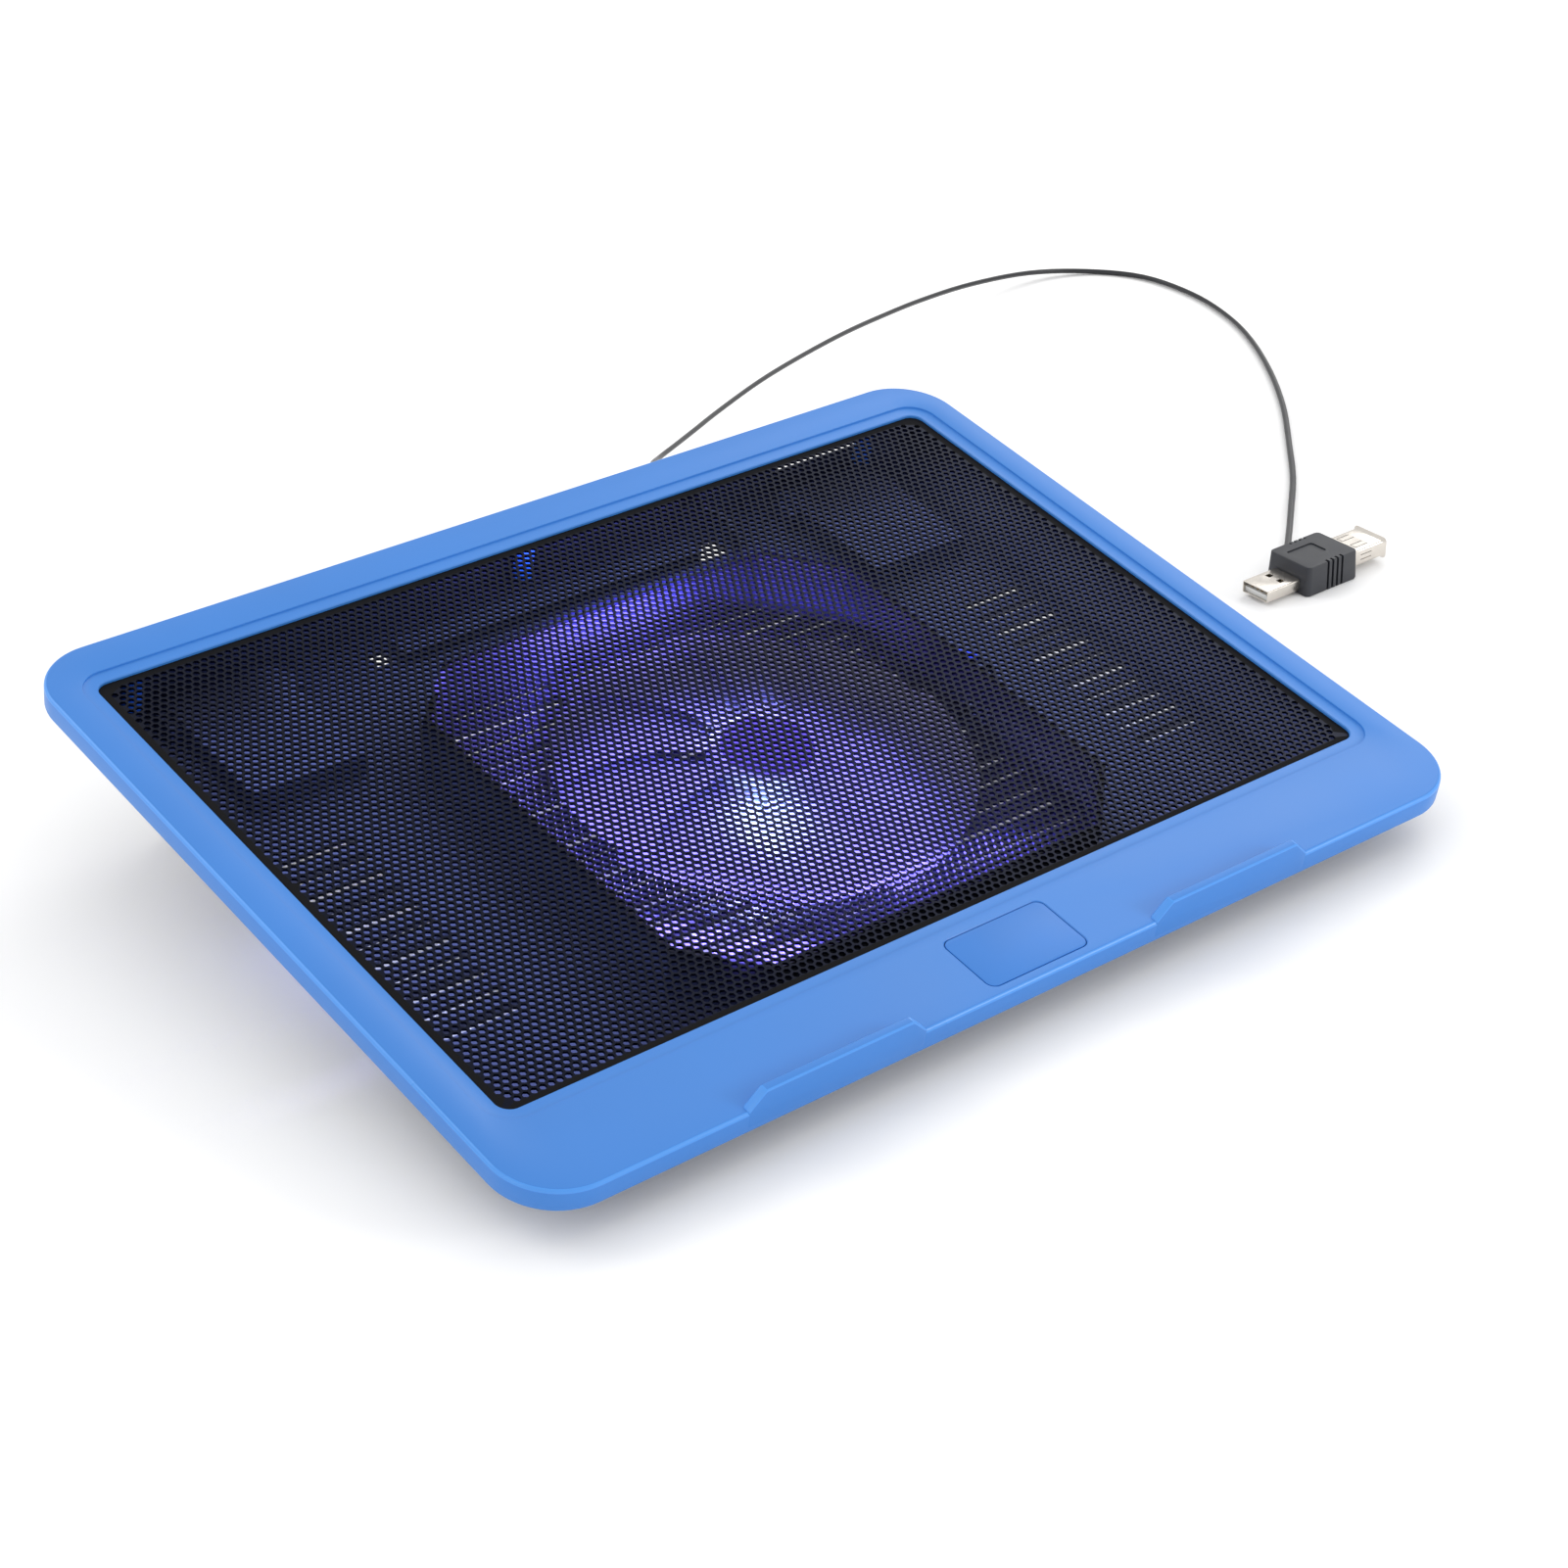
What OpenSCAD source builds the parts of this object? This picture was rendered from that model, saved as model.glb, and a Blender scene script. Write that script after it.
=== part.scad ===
// Laptop cooling pad: a mesh-topped case with one fan, standing on its two flip-out rear legs.
// The case is drawn flat, with its underside at z = 0, and on_legs() leans it back to its working angle.

/* [Case] */
// Width of the pad, left to right
pad_w = 340; // [336:2:350]
// Depth of the pad, front to back
pad_d = 260; // [258:2:270]
// Height of the closed case, without its feet
case_h = 22.5; // [22:0.5:25]
// Angle that the open legs lean the pad to
tilt = 10; // [8:0.5:11]

/* [Frame] */
// Height of the frame's outer wall
skirt_h = 7; // [5:0.5:8]
// Corner radius of the frame
corner_r = 20; // [16:1:24]
// Frame width beside the mesh
side_margin = 14; // [14:1:18]
// Frame width in front of the mesh
front_margin = 33.5; // [33:0.5:36]
// Frame width behind the mesh
back_margin = 18; // [18:0.5:20]
// Height of the two ridges that stop the laptop from sliding off
stop_h = 5.2; // [3:0.2:6]
// Length of each ridge at its foot
stop_w = 60; // [40:1:64]

/* [Mesh] */
// Spacing of the openings along a row
cell_pitch = 13.35; // [12:0.05:16]
// Width of an opening, flat to flat
cell_size = 10.3; // [8:0.1:11]

/* [Fan] */
// Tip radius of the fan blades
blade_tip_r = 63.5; // [55:0.5:66]
// Radius of the fan's hub
hub_r = 17.5; // [17.5:0.5:20]
// Number of blades
blades = 9; // [5:1:11]

/* [Vents] */
// Spacing of the vent rows
vent_pitch = 8.25; // [7.5:0.25:9]
// Width of a vent slot
vent_w = 3.2; // [2.5:0.1:3.6]

/* [Hidden] */
$fn = 64;
sliver = 0.01;

// Frame and mesh
plate_t = 1.8;
wall_t = 2;
window_w = pad_w - 2 * side_margin;
window_d = pad_d - front_margin - back_margin;
window_y = (front_margin - back_margin) / 2;
window_r = 4.5;
ledge_w = 4.4;
ledge_drop = 0.8;
mesh_t = 0.8;
mesh_lap = 3;
plate_under = case_h - plate_t;
stop_x = [-74, 70];
stop_t = 3;
badge_w = 36.5;
badge_d = 22;
badge_r = 3;
badge_y = -pad_d / 2 + 14.3;
badge_depth = 1.1;

// Tray: its walls lean inwards towards the floor, except the back one
floor_t = 2;
tray_top_w = pad_w - 16;
tray_floor_w = pad_w - 40;
tray_back_y = pad_d / 2 - 6;
tray_top_front_y = 8 - pad_d / 2;
tray_floor_front_y = 18 - pad_d / 2;
tray_corner_r = 14;
desk_gap = 0.3;

// Screws that hold the tray to the frame: three along the front and three along the back
screw_x = [-140, 0, 140];
front_screw_y = 26 - pad_d / 2;
back_screw_y = pad_d / 2 - 11.8;
boss_r = 3.2;
screw_r = 1.3;
screw_head_r = 2.6;
screw_head_h = 1.6;
screw_pad_h = 4;
screw_tip_z = 13;

// Fan bay: a square wall with cut corners around the rotor, and the motor in its middle
fan_y = -6;
bay_half = 79;
bay_corner_sum = 138;
bay_wall_h = plate_under - mesh_t - 1;
motor_pad_r = 22;
motor_pad_h = 3;
rib_x = [-22, 0, 22];
rib_w = 6;
side_vent_x = 128.5;
side_vent_len = 25.8;
lead_notch = [-11, -7];
lead_notch_top = 6;

// Bar across the tray's back, the windows and peg hole beside it, and a slot through the back wall
bar_size = [114, 8, 6];
left_window = [6, 7];
left_window_x = -62;
right_window = [13, 10];
right_window_x = 62;
peg_hole_at = [89, 107];
peg_hole_r = 1.3;
back_slot = [38, 4];
back_slot_at = [124, 9];

// Motor and rotor, as heights above the underside
base_plate_r = 16;
base_top = 4.6;
tube_r = 4.6;
tube_top = 14;
shaft_r = 1.5;
shaft_gap = 0.03;
sleeve_r = 3;
hub_bottom = 6.4;
hub_ceiling = 15;
hub_top = 17.5;
magnet_r = 13.2;
magnet_bore_r = 11.4;
pole_tip_r = 10.8;
blade_bottom = 6.2;
blade_top = 16.8;
blade_pitch = 18;
blade_t = 1.4;
motor_screw_r = 1;
motor_screw_ring = 12.5;

// Lamp beside the hub
lamp = [-20.5, -29];
lamp_board_w = 9;

// Rear legs, on pins along X
leg_x = 116;
leg_w = 32;
leg_t = 5;
leg_barrel_r = 3.6;
leg_open = 95;
hinge_y = pad_d / 2 - 27;
hinge_z = 3.6;
pin_r = 1.5;
pin_gap = 0.05;
pin_len = 13;
lug_t = 5;
tip_r = 3;
pocket_gap = 1.5;
pocket_h = 8;
pocket_skin = 1.5;
pocket_front_y = hinge_y - 43;
pocket_back_y = hinge_y + 5;
stop_block = [24, 1.5];
stop_block_gap = 0.3;

// Feet: rubber domes that stay in contact while the pad leans back
foot_ball_r = 9;
foot_drop = 2;
foot_y = 35 - pad_d / 2;
front_foot_x = 125;
back_foot_x = 80;

// Working pose: front feet and leg tips on z = 0, and the case's middle over the origin
function raised(y, z) = y * sin(tilt) + z * cos(tilt);
lift = foot_ball_r - raised(foot_y, foot_ball_r - foot_drop);
front_reach = pad_d / 2 * cos(tilt) + (case_h + stop_h) * sin(tilt);
back_reach = pad_d / 2 * cos(tilt) - (case_h - skirt_h) * sin(tilt);
slide_y = (front_reach - back_reach) / 2;
hinge_height = lift + raised(hinge_y, hinge_z);
leg_lean = leg_open - 90 + tilt;
leg_len = (hinge_height - tip_r) / cos(leg_lean);

module on_legs() {
  translate([0, slide_y, lift]) rotate([tilt, 0, 0]) children();
}
function in_place(p) = [
  p.x,
  slide_y + p.y * cos(tilt) - p.z * sin(tilt),
  lift + raised(p.y, p.z)
];

// Leads inside the case, as points above the underside
lead_r = 1;
splice_r = 1.9;
inner_cable_r = 1.3;
splice_ends = [[98, 9, 4], [91, 19, 4]];
fan_lead_route = [[16, -7, 4.2], [20, -8, 4.2], [26, -9, 3.4], [34, -10, 3.1], [45, -11, 3.1],
    [57, -10, 3.1], [68, -9, 3.1], [78, -9, 3.1], [87, -8, 3.1], [94, -5, 3.2], [98, 0, 3.6], [99, 5, 4],
    splice_ends[0]];
led_lead_route = [[-16, -29, 2.6], [-8, -30, 3], [4, -31, 3.1], [16, -29, 3.1], [25, -22, 3.1],
    [29, -15, 3.1], [32, -10.8, 3.1]];
cable_exit = [68, tray_back_y + 3, 11];
grommet_r = 3;
inner_cable_route = [splice_ends[1], [88, 25, 3.8], [88, 34, 3.5], [92, 43, 3.5], [97, 49, 3.5],
    [98, 54, 3.5], [93, 59, 3.5], [86, 66, 3.5], [77, 73, 3.5], [69, 77, 3.5], [63, 82, 3.5], [63, 89, 3.5],
    [69, 95, 3.5], [74, 102, 4.5], [73, 109, 8], [69, 115, 10.5], [68, tray_back_y - wall_t - 1, 11]];

// Free cable, as points above the desk, from the grommet to the plug's side
cable_r = 1.3;
cable_lie = 1.4;
cord_sides = 8;
plug_at = [247, 8.4, 0];
plug_size = [25, 20, 11];
plug_mid = plug_at + plug_size / 2;
cable_entry = [plug_at.x + 10, plug_at.y + plug_size.y, plug_mid.z];
cable_route = [in_place(cable_exit), in_place(cable_exit + [0, 10, 0]), [72, 146, 52], [82, 156, 48],
    [96, 166, 45], [112, 177, 42], [136, 193, 38], [169, 212, 34], [202, 230, 29], [237, 247, 24],
    [268, 261, 19], [302, 274, 14], [338, 284, 9], [374, 288, 4],
    [399, 279, cable_lie], [413, 259, cable_lie], [415, 232, cable_lie], [409, 206, cable_lie],
    [398, 182, cable_lie], [380, 154, cable_lie], [359, 127, cable_lie], [336, 102, cable_lie],
    [314, 79, cable_lie], [293, 60, 2], [275, 44, 3.5], cable_entry];

// Plug and socket on the free cable, with the standard USB-A sizes
plug_shell = [15.5, 12, 4.5];
plug_shell_z = 3.7;
socket_shell = [16.5, 13.4, 6];
shell_t = 0.35;
plug_shell_x = plug_at.x - plug_shell.x;
socket_shell_x = plug_at.x + plug_size.x;
contact_y = [-3.5, -1, 1, 3.5];

// ---------- shared shapes ----------

module rounded_rect(w, d, r) {
  square([w - 2 * r, d], center = true);
  square([w, d - 2 * r], center = true);
  for (x = [-1, 1], y = [-1, 1])
    translate([x * (w / 2 - r), y * (d / 2 - r)]) circle(r);
}

module slot(length, w) {
  square([length - w, w], center = true);
  for (x = [-1, 1])
    translate([x * (length - w) / 2, 0]) circle(w / 2, $fn = 24);
}

module disc(r, bottom, top) {
  translate([0, 0, bottom]) cylinder(r = r, h = top - bottom);
}

module ring(outer_r, inner_r, bottom, top) {
  difference() {
    disc(outer_r, bottom, top);
    disc(inner_r, bottom - 1, top + 1);
  }
}

module block(low, high) {
  translate(low) cube(high - low);
}

module rod(r, length) {
  rotate([0, 90, 0]) cylinder(r = r, h = length, center = true);
}

// ---------- cord along a route ----------

function unit(v) = v / norm(v);
function heading(route, i) = unit(route[min(i + 1, len(route) - 1)] - route[max(i - 1, 0)]);
function hoop(route, i, r) =
  let (along = heading(route, i), side = unit(cross(along, [0, 0, 1])), up = cross(side, along))
  [for (k = [0 : cord_sides - 1])
    let (angle = 360 * (k + 0.5) / cord_sides)
    route[i] + r * (cos(angle) * side + sin(angle) * up)];
function between(a, b, c, d, t) =
  (2 * b + (c - a) * t + (2 * a - 5 * b + 4 * c - d) * t * t + (3 * b - a - 3 * c + d) * t * t * t) / 2;
function smoothed(route, steps) = let (last = len(route) - 1) [
  for (i = [0 : last - 1], k = [0 : steps - 1])
    between(route[max(i - 1, 0)], route[i], route[i + 1], route[min(i + 2, last)], k / steps),
  route[last]
];

module cord(route, r) {
  rings = len(route);
  points = [for (i = [0 : rings - 1]) each hoop(route, i, r)];
  walls = [for (i = [0 : rings - 2], k = [0 : cord_sides - 1])
    let (next = (k + 1) % cord_sides, a = i * cord_sides, b = a + cord_sides)
    [a + k, a + next, b + next, b + k]];
  start_cap = [for (k = [cord_sides - 1 : -1 : 0]) k];
  end_cap = [for (k = [0 : cord_sides - 1]) (rings - 1) * cord_sides + k];
  polyhedron(points, concat([start_cap], walls, [end_cap]), convexity = 4);
}

// ---------- frame, badge and mesh ----------

module laptop_stops() {
  for (x = stop_x)
    translate([x, stop_t - pad_d / 2, case_h - sliver])
      rotate([90, 0, 0])
        linear_extrude(stop_t)
          polygon([[-stop_w / 2, 0], [stop_w / 2, 0], [stop_w / 2 - stop_h, stop_h + sliver],
            [stop_h - stop_w / 2, stop_h + sliver]]);
}

module screw_places() {
  for (x = screw_x, y = [front_screw_y, back_screw_y])
    translate([x, y, 0]) children();
}

module top_frame() {
  color("dodgerblue") on_legs() {
    difference() {
      union() {
        translate([0, 0, case_h - skirt_h]) linear_extrude(skirt_h) rounded_rect(pad_w, pad_d, corner_r);
        laptop_stops();
      }
      translate([0, 0, case_h - skirt_h - 1])
        linear_extrude(skirt_h + 1 - plate_t)
          rounded_rect(pad_w - 2 * wall_t, pad_d - 2 * wall_t, corner_r - wall_t);
      translate([0, window_y, 0]) linear_extrude(case_h + 1) rounded_rect(window_w, window_d, window_r);
      translate([0, window_y, case_h - ledge_drop])
        linear_extrude(ledge_drop + 1)
          rounded_rect(window_w + 2 * ledge_w, window_d + 2 * ledge_w, window_r + ledge_w);
      translate([0, badge_y, case_h - badge_depth])
        linear_extrude(badge_depth + 1) rounded_rect(badge_w, badge_d, badge_r);
    }
    screw_places() difference() {
      disc(boss_r, screw_pad_h, plate_under + sliver);
      disc(screw_r, screw_pad_h - 1, screw_tip_z);
    }
  }
}

module badge_plate() {
  color("royalblue") on_legs()
    translate([0, badge_y, case_h - badge_depth])
      linear_extrude(badge_depth - 0.2) rounded_rect(badge_w - 0.4, badge_d - 0.4, badge_r - 0.2);
}

module mesh_panel() {
  row_pitch = cell_pitch * sin(60);
  rows = floor((window_d - cell_size) / 2 / row_pitch);
  columns = ceil(window_w / 2 / cell_pitch);
  reach = (window_w - cell_size) / 2;
  color("dimgray") on_legs()
    translate([0, window_y, plate_under - mesh_t])
      linear_extrude(mesh_t) difference() {
        rounded_rect(window_w + 2 * mesh_lap, window_d + 2 * mesh_lap, window_r + mesh_lap);
        for (row = [-rows : rows], column = [-columns : columns]) {
          x = (column + (row % 2 == 0 ? 0 : 0.5)) * cell_pitch;
          if (abs(x) < reach)
            translate([x, row * row_pitch]) rotate(30) circle(cell_size / sqrt(3), $fn = 6);
        }
      }
}

// ---------- tray ----------

module tray_level(w, front_y, inset, z) {
  d = tray_back_y - front_y - 2 * inset;
  translate([0, (tray_back_y + front_y) / 2, z])
    linear_extrude(sliver) rounded_rect(w - 2 * inset, d, tray_corner_r, $fn = 32);
}

module tray_shape(inset, bottom, top) {
  hull() {
    tray_level(tray_floor_w, tray_floor_front_y, inset, bottom);
    tray_level(tray_top_w, tray_top_front_y, inset, top - sliver);
  }
}

module bay_outline(grow) {
  half = bay_half + grow;
  reach = bay_corner_sum + grow * sqrt(2) - half;
  polygon([[half, -reach], [half, reach], [reach, half], [-reach, half],
    [-half, reach], [-half, -reach], [-reach, -half], [reach, -half]]);
}

module bay_vents() {
  edge = 4;
  for (row = [-9 : 9]) {
    y = row * vent_pitch;
    half = min(bay_half, bay_corner_sum - abs(y)) - edge;
    starts = [-half, for (x = rib_x) x + rib_w / 2];
    ends = [for (x = rib_x) x - rib_w / 2, half];
    for (i = [0 : len(starts) - 1])
      translate([(starts[i] + ends[i]) / 2, fan_y + y]) slot(ends[i] - starts[i], vent_w);
  }
}

module side_vents() {
  for (side = [-1, 1], row = [-5 : 5])
    translate([side * side_vent_x, fan_y + row * vent_pitch]) slot(side_vent_len, vent_w);
}

module vent_cuts() {
  translate([0, 0, -1]) linear_extrude(floor_t + 2) difference() {
    union() {
      bay_vents();
      side_vents();
    }
    translate([0, fan_y]) circle(motor_pad_r);
    translate(lamp) square(lamp_board_w + 3, center = true);
  }
}

module rear_openings() {
  translate([0, 0, -1]) linear_extrude(floor_t + 2) {
    translate([left_window_x, hinge_y + 2]) square(left_window, center = true);
    translate([right_window_x, hinge_y]) square(right_window, center = true);
    translate(peg_hole_at) circle(peg_hole_r, $fn = 24);
  }
  translate([back_slot_at.x, tray_back_y, back_slot_at.y]) rotate([90, 0, 0])
    linear_extrude(12, center = true) slot(back_slot.x, back_slot.y);
}

module pocket_box(grow, bottom, top) {
  half = leg_w / 2 + pocket_gap + grow;
  for (side = [-1, 1])
    block([side * leg_x - half, pocket_front_y - grow, bottom],
      [side * leg_x + half, pocket_back_y + grow, top]);
}

// Everything lower than the tray's front edge may reach once the pad leans back
module under_desk() {
  block([-pad_w, -pad_d, -pad_d], [pad_w, pad_d, desk_gap]);
}

// Blocks that the open legs lean against
module leg_stops() {
  leg_back_y = hinge_y + hinge_z * tan(leg_open - 90) + leg_t / 2 / cos(leg_open - 90);
  for (side = [-1, 1])
    block([side * leg_x - stop_block.x / 2, leg_back_y + stop_block_gap, 0],
      [side * leg_x + stop_block.x / 2, pocket_back_y + sliver, stop_block.y]);
}

module pin_lugs() {
  for (side = [-1, 1], end = [-1, 1])
    translate([side * leg_x + end * (leg_w / 2 + pocket_gap + lug_t / 2), hinge_y, 0])
      block([-lug_t / 2, -5, 0], [lug_t / 2, 5, pocket_h]);
}

module pin_places() {
  for (side = [-1, 1], end = [-1, 1])
    translate([side * leg_x + end * (leg_w / 2 + pocket_gap + lug_t - pin_len / 2), hinge_y, hinge_z])
      children();
}

module whole_tray() {
  difference() {
    union() {
      difference() {
        tray_shape(0, 0, plate_under);
        tray_shape(wall_t, floor_t, plate_under + 1);
        vent_cuts();
        rear_openings();
      }
      translate([0, fan_y, floor_t - sliver]) linear_extrude(bay_wall_h - floor_t) difference() {
        bay_outline(wall_t);
        bay_outline(0);
      }
      translate([0, fan_y, 0]) disc(motor_pad_r - 1, 0, motor_pad_h);
      translate([-bar_size.x / 2, hinge_y - bar_size.y / 2, 0]) cube(bar_size);
      pocket_box(pocket_skin, 0, pocket_h + pocket_skin);
      pin_lugs();
      screw_places() disc(boss_r + 1, 0, screw_pad_h);
    }
    difference() {
      pocket_box(0, -1, pocket_h);
      leg_stops();
    }
    pin_places() rod(pin_r, pin_len);
    screw_places() disc(screw_r, -1, screw_pad_h + 1);
    screw_places() disc(screw_head_r, -1, screw_head_h + 0.3);
    translate([0, fan_y, 0]) motor_screw_places() disc(motor_screw_r, 1, base_top);
    block([bay_half - 1, lead_notch[0], floor_t], [bay_half + wall_t + 1, lead_notch[1], lead_notch_top]);
    translate([cable_exit.x, tray_back_y, cable_exit.z]) rotate([90, 0, 0])
      cylinder(r = grommet_r, h = 12, center = true);
  }
}

module base_tray() {
  color("black") difference() {
    on_legs() whole_tray();
    under_desk();
  }
}

module rubber_feet() {
  color("dimgray") on_legs()
    for (side = [-1, 1], p = [[front_foot_x, foot_y], [back_foot_x, -foot_y]])
      translate([side * p.x, p.y, foot_ball_r - foot_drop]) intersection() {
        sphere(foot_ball_r);
        disc(foot_ball_r, -foot_ball_r - 1, foot_drop - foot_ball_r);
      }
}

module case_screws() {
  color("silver") on_legs() screw_places() difference() {
    union() {
      disc(screw_head_r, 0.3, screw_head_h + 0.3);
      disc(screw_r, screw_head_h, screw_tip_z);
    }
    for (turn = [0, 90])
      rotate(turn) block([-1.5, -0.25, 0], [1.5, 0.25, 1]);
  }
}

// ---------- rear legs ----------

module leg_tongue() {
  block([-leg_w / 2 + 3, 0.5 - leg_len, -1], [leg_w / 2 - 3, tip_r - leg_len + sliver, 1]);
}

// Origin at the hinge and pointing forwards, as it lies when folded
module leg() {
  difference() {
    union() {
      rod(leg_barrel_r, leg_w);
      block([-leg_w / 2, tip_r - leg_len, -leg_t / 2], [leg_w / 2, 0, leg_t / 2]);
      leg_tongue();
    }
    rod(pin_r + pin_gap, leg_w + 1);
    block([-leg_w / 2 + 7, 10 - leg_len, -leg_t], [leg_w / 2 - 7, -9, leg_t]);
  }
}

module leg_tip() {
  difference() {
    translate([0, -leg_len, 0]) rod(tip_r, leg_w - 4);
    leg_tongue();
  }
}

module at_hinge(side) {
  on_legs() translate([side * leg_x, hinge_y, hinge_z]) rotate([leg_open, 0, 0]) children();
}

module left_leg() {
  color("black") at_hinge(-1) leg();
}

module right_leg() {
  color("black") at_hinge(1) leg();
}

module left_leg_tip() {
  color("dimgray") at_hinge(-1) leg_tip();
}

module right_leg_tip() {
  color("dimgray") at_hinge(1) leg_tip();
}

module leg_pins() {
  color("silver") on_legs() pin_places() rod(pin_r, pin_len);
}

// ---------- fan ----------

module at_fan() {
  on_legs() translate([0, fan_y, 0]) children();
}

module motor_screw_places() {
  for (turn = [30, 150, 270])
    rotate(turn) translate([motor_screw_ring, 0, 0]) children();
}

module fan_rotor() {
  color("lavender") at_fan() {
    difference() {
      disc(hub_r, hub_bottom, hub_top);
      disc(magnet_r, hub_bottom - 1, hub_ceiling);
      disc(shaft_r, hub_ceiling - 1, hub_top - 0.5);
    }
    intersection() {
      ring(blade_tip_r, hub_r - 0.5, blade_bottom, blade_top);
      for (turn = [0 : 360 / blades : 359])
        rotate(turn) translate([0, 0, (blade_bottom + blade_top) / 2]) rotate([blade_pitch, 0, 0])
          block([hub_r - 2, -22, -blade_t / 2], [blade_tip_r + 2, 22, blade_t / 2]);
    }
  }
}

module hub_cap() {
  color("gray") at_fan() disc(14.2, hub_top, hub_top + 0.4);
}

module rotor_magnet() {
  color("dimgray") at_fan() ring(magnet_r, magnet_bore_r, hub_bottom + 0.2, hub_ceiling - 0.5);
}

module rotor_shaft() {
  color("silver") at_fan() disc(shaft_r, base_top + 0.4, hub_top - 0.5);
}

module motor_base() {
  color("white") at_fan() difference() {
    union() {
      disc(base_plate_r, motor_pad_h, base_top);
      disc(tube_r, base_top - sliver, tube_top);
    }
    disc(sleeve_r, base_top, tube_top + 1);
    motor_screw_places() disc(motor_screw_r, motor_pad_h - 1, base_top + 1);
  }
}

module bearing_sleeve() {
  color("goldenrod") at_fan() ring(sleeve_r, shaft_r + shaft_gap, base_top + 0.4, tube_top - 0.2);
}

module stator_core() {
  color("slategray") at_fan() {
    ring(6.5, tube_r, 7, 12);
    intersection() {
      ring(pole_tip_r, 6, 7, 12);
      union() {
        for (turn = [0, 90])
          rotate(turn) block([-12, -1.6, 7], [12, 1.6, 12]);
        difference() {
          disc(12, 7, 12);
          disc(9.4, 6, 13);
          for (turn = [45, 135])
            rotate(turn) block([-13, -2, 6], [13, 2, 13]);
        }
      }
    }
  }
}

module stator_coils() {
  color("chocolate") at_fan()
    for (turn = [0 : 90 : 270])
      rotate(turn) difference() {
        block([6.9, -3.1, 6], [8.7, 3.1, 13]);
        block([6, -1.6, 7], [10, 1.6, 12]);
      }
}

module motor_board() {
  color("seagreen") at_fan() ring(10, tube_r, base_top, base_top + 1);
}

module motor_screws() {
  color("silver") at_fan() motor_screw_places() {
    disc(motor_screw_r, 1, base_top + sliver);
    disc(2.1, base_top, base_top + 1.2);
  }
}

module led_board() {
  color("white") on_legs() translate([lamp.x, lamp.y, floor_t])
    block([-lamp_board_w / 2, -lamp_board_w / 2, 0], [lamp_board_w / 2, lamp_board_w / 2, 1.2]);
}

module led_lamp() {
  color("white") on_legs() translate([lamp.x, lamp.y, floor_t + 1.2]) {
    disc(2.2, 0, 1);
    intersection() {
      translate([0, 0, 0.6]) sphere(1.5);
      disc(2.2, 0.9, 3);
    }
  }
}

// ---------- leads and cable ----------

module fan_lead() {
  color("black") on_legs() cord(smoothed(fan_lead_route, 2), lead_r);
}

module led_lead() {
  color("black") on_legs() cord(smoothed(led_lead_route, 2), lead_r / 2);
}

module lead_splice() {
  color("mediumblue") on_legs() cord(splice_ends, splice_r);
}

module inner_cable() {
  color("black") on_legs() cord(smoothed(inner_cable_route, 2), inner_cable_r);
}

module cable_grommet() {
  color("black") on_legs() translate([cable_exit.x, 0, cable_exit.z]) rotate([-90, 0, 0]) {
    disc(grommet_r, tray_back_y - wall_t, tray_back_y);
    disc(grommet_r + 1.2, tray_back_y - wall_t - 1, tray_back_y - wall_t);
    disc(grommet_r + 1.2, tray_back_y, tray_back_y + 1);
    disc(2.4, tray_back_y + 1, tray_back_y + 3);
  }
}

module usb_cable() {
  color("black") cord(smoothed(cable_route, 3), cable_r);
}

module plug_body() {
  color("darkslategray") block(plug_at, plug_at + plug_size);
}

// A metal shell from x = 0 towards +X, centred on the axis
module open_shell(size) {
  difference() {
    block([0, -size.y / 2, -size.z / 2], [size.x, size.y / 2, size.z / 2]);
    block([-1, -size.y / 2 + shell_t, -size.z / 2 + shell_t],
      [size.x + 1, size.y / 2 - shell_t, size.z / 2 - shell_t]);
    for (side = [-1, 1])
      block([size.x / 2 - 1, side * 2.6 - 1.1, 0], [size.x / 2 + 1.2, side * 2.6 + 1.1, size.z]);
  }
}

module plug_shell() {
  color("silver") translate([plug_shell_x, plug_mid.y, plug_shell_z]) open_shell(plug_shell);
}

module plug_tongue() {
  color("white") translate([plug_shell_x, plug_mid.y, plug_shell_z])
    block([1, shell_t - plug_shell.y / 2, shell_t - plug_shell.z / 2],
      [plug_shell.x, plug_shell.y / 2 - shell_t, -0.1]);
}

module plug_contacts() {
  color("gold") translate([plug_shell_x, plug_mid.y, plug_shell_z])
    for (y = contact_y)
      block([2, y - 0.5, -0.1], [plug_shell.x, y + 0.5, 0.1]);
}

module socket_shell() {
  color("silver") translate([socket_shell_x, plug_mid.y, plug_mid.z]) open_shell(socket_shell);
}

module socket_tongue() {
  color("white") translate([socket_shell_x, plug_mid.y, plug_mid.z])
    block([0, -5.3, 0.2], [socket_shell.x - 1.5, 5.3, 2]);
}

module socket_contacts() {
  color("gold") translate([socket_shell_x, plug_mid.y, plug_mid.z])
    for (y = contact_y)
      block([0, y - 0.5, 0], [socket_shell.x - 2.5, y + 0.5, 0.2]);
}

top_frame();
badge_plate();
mesh_panel();
base_tray();
rubber_feet();
case_screws();
left_leg();
right_leg();
left_leg_tip();
right_leg_tip();
leg_pins();
fan_rotor();
hub_cap();
rotor_magnet();
rotor_shaft();
motor_base();
bearing_sleeve();
stator_core();
stator_coils();
motor_board();
motor_screws();
led_board();
led_lamp();
led_lead();
fan_lead();
lead_splice();
inner_cable();
cable_grommet();
usb_cable();
plug_body();
plug_shell();
plug_tongue();
plug_contacts();
socket_shell();
socket_tongue();
socket_contacts();
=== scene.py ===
"""The looks of a laptop cooling pad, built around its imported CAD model.

Shapes are in millimetres. The case is modelled flat, with its underside at z = 0, and LEANING
puts it on its legs.
"""

import math

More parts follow.
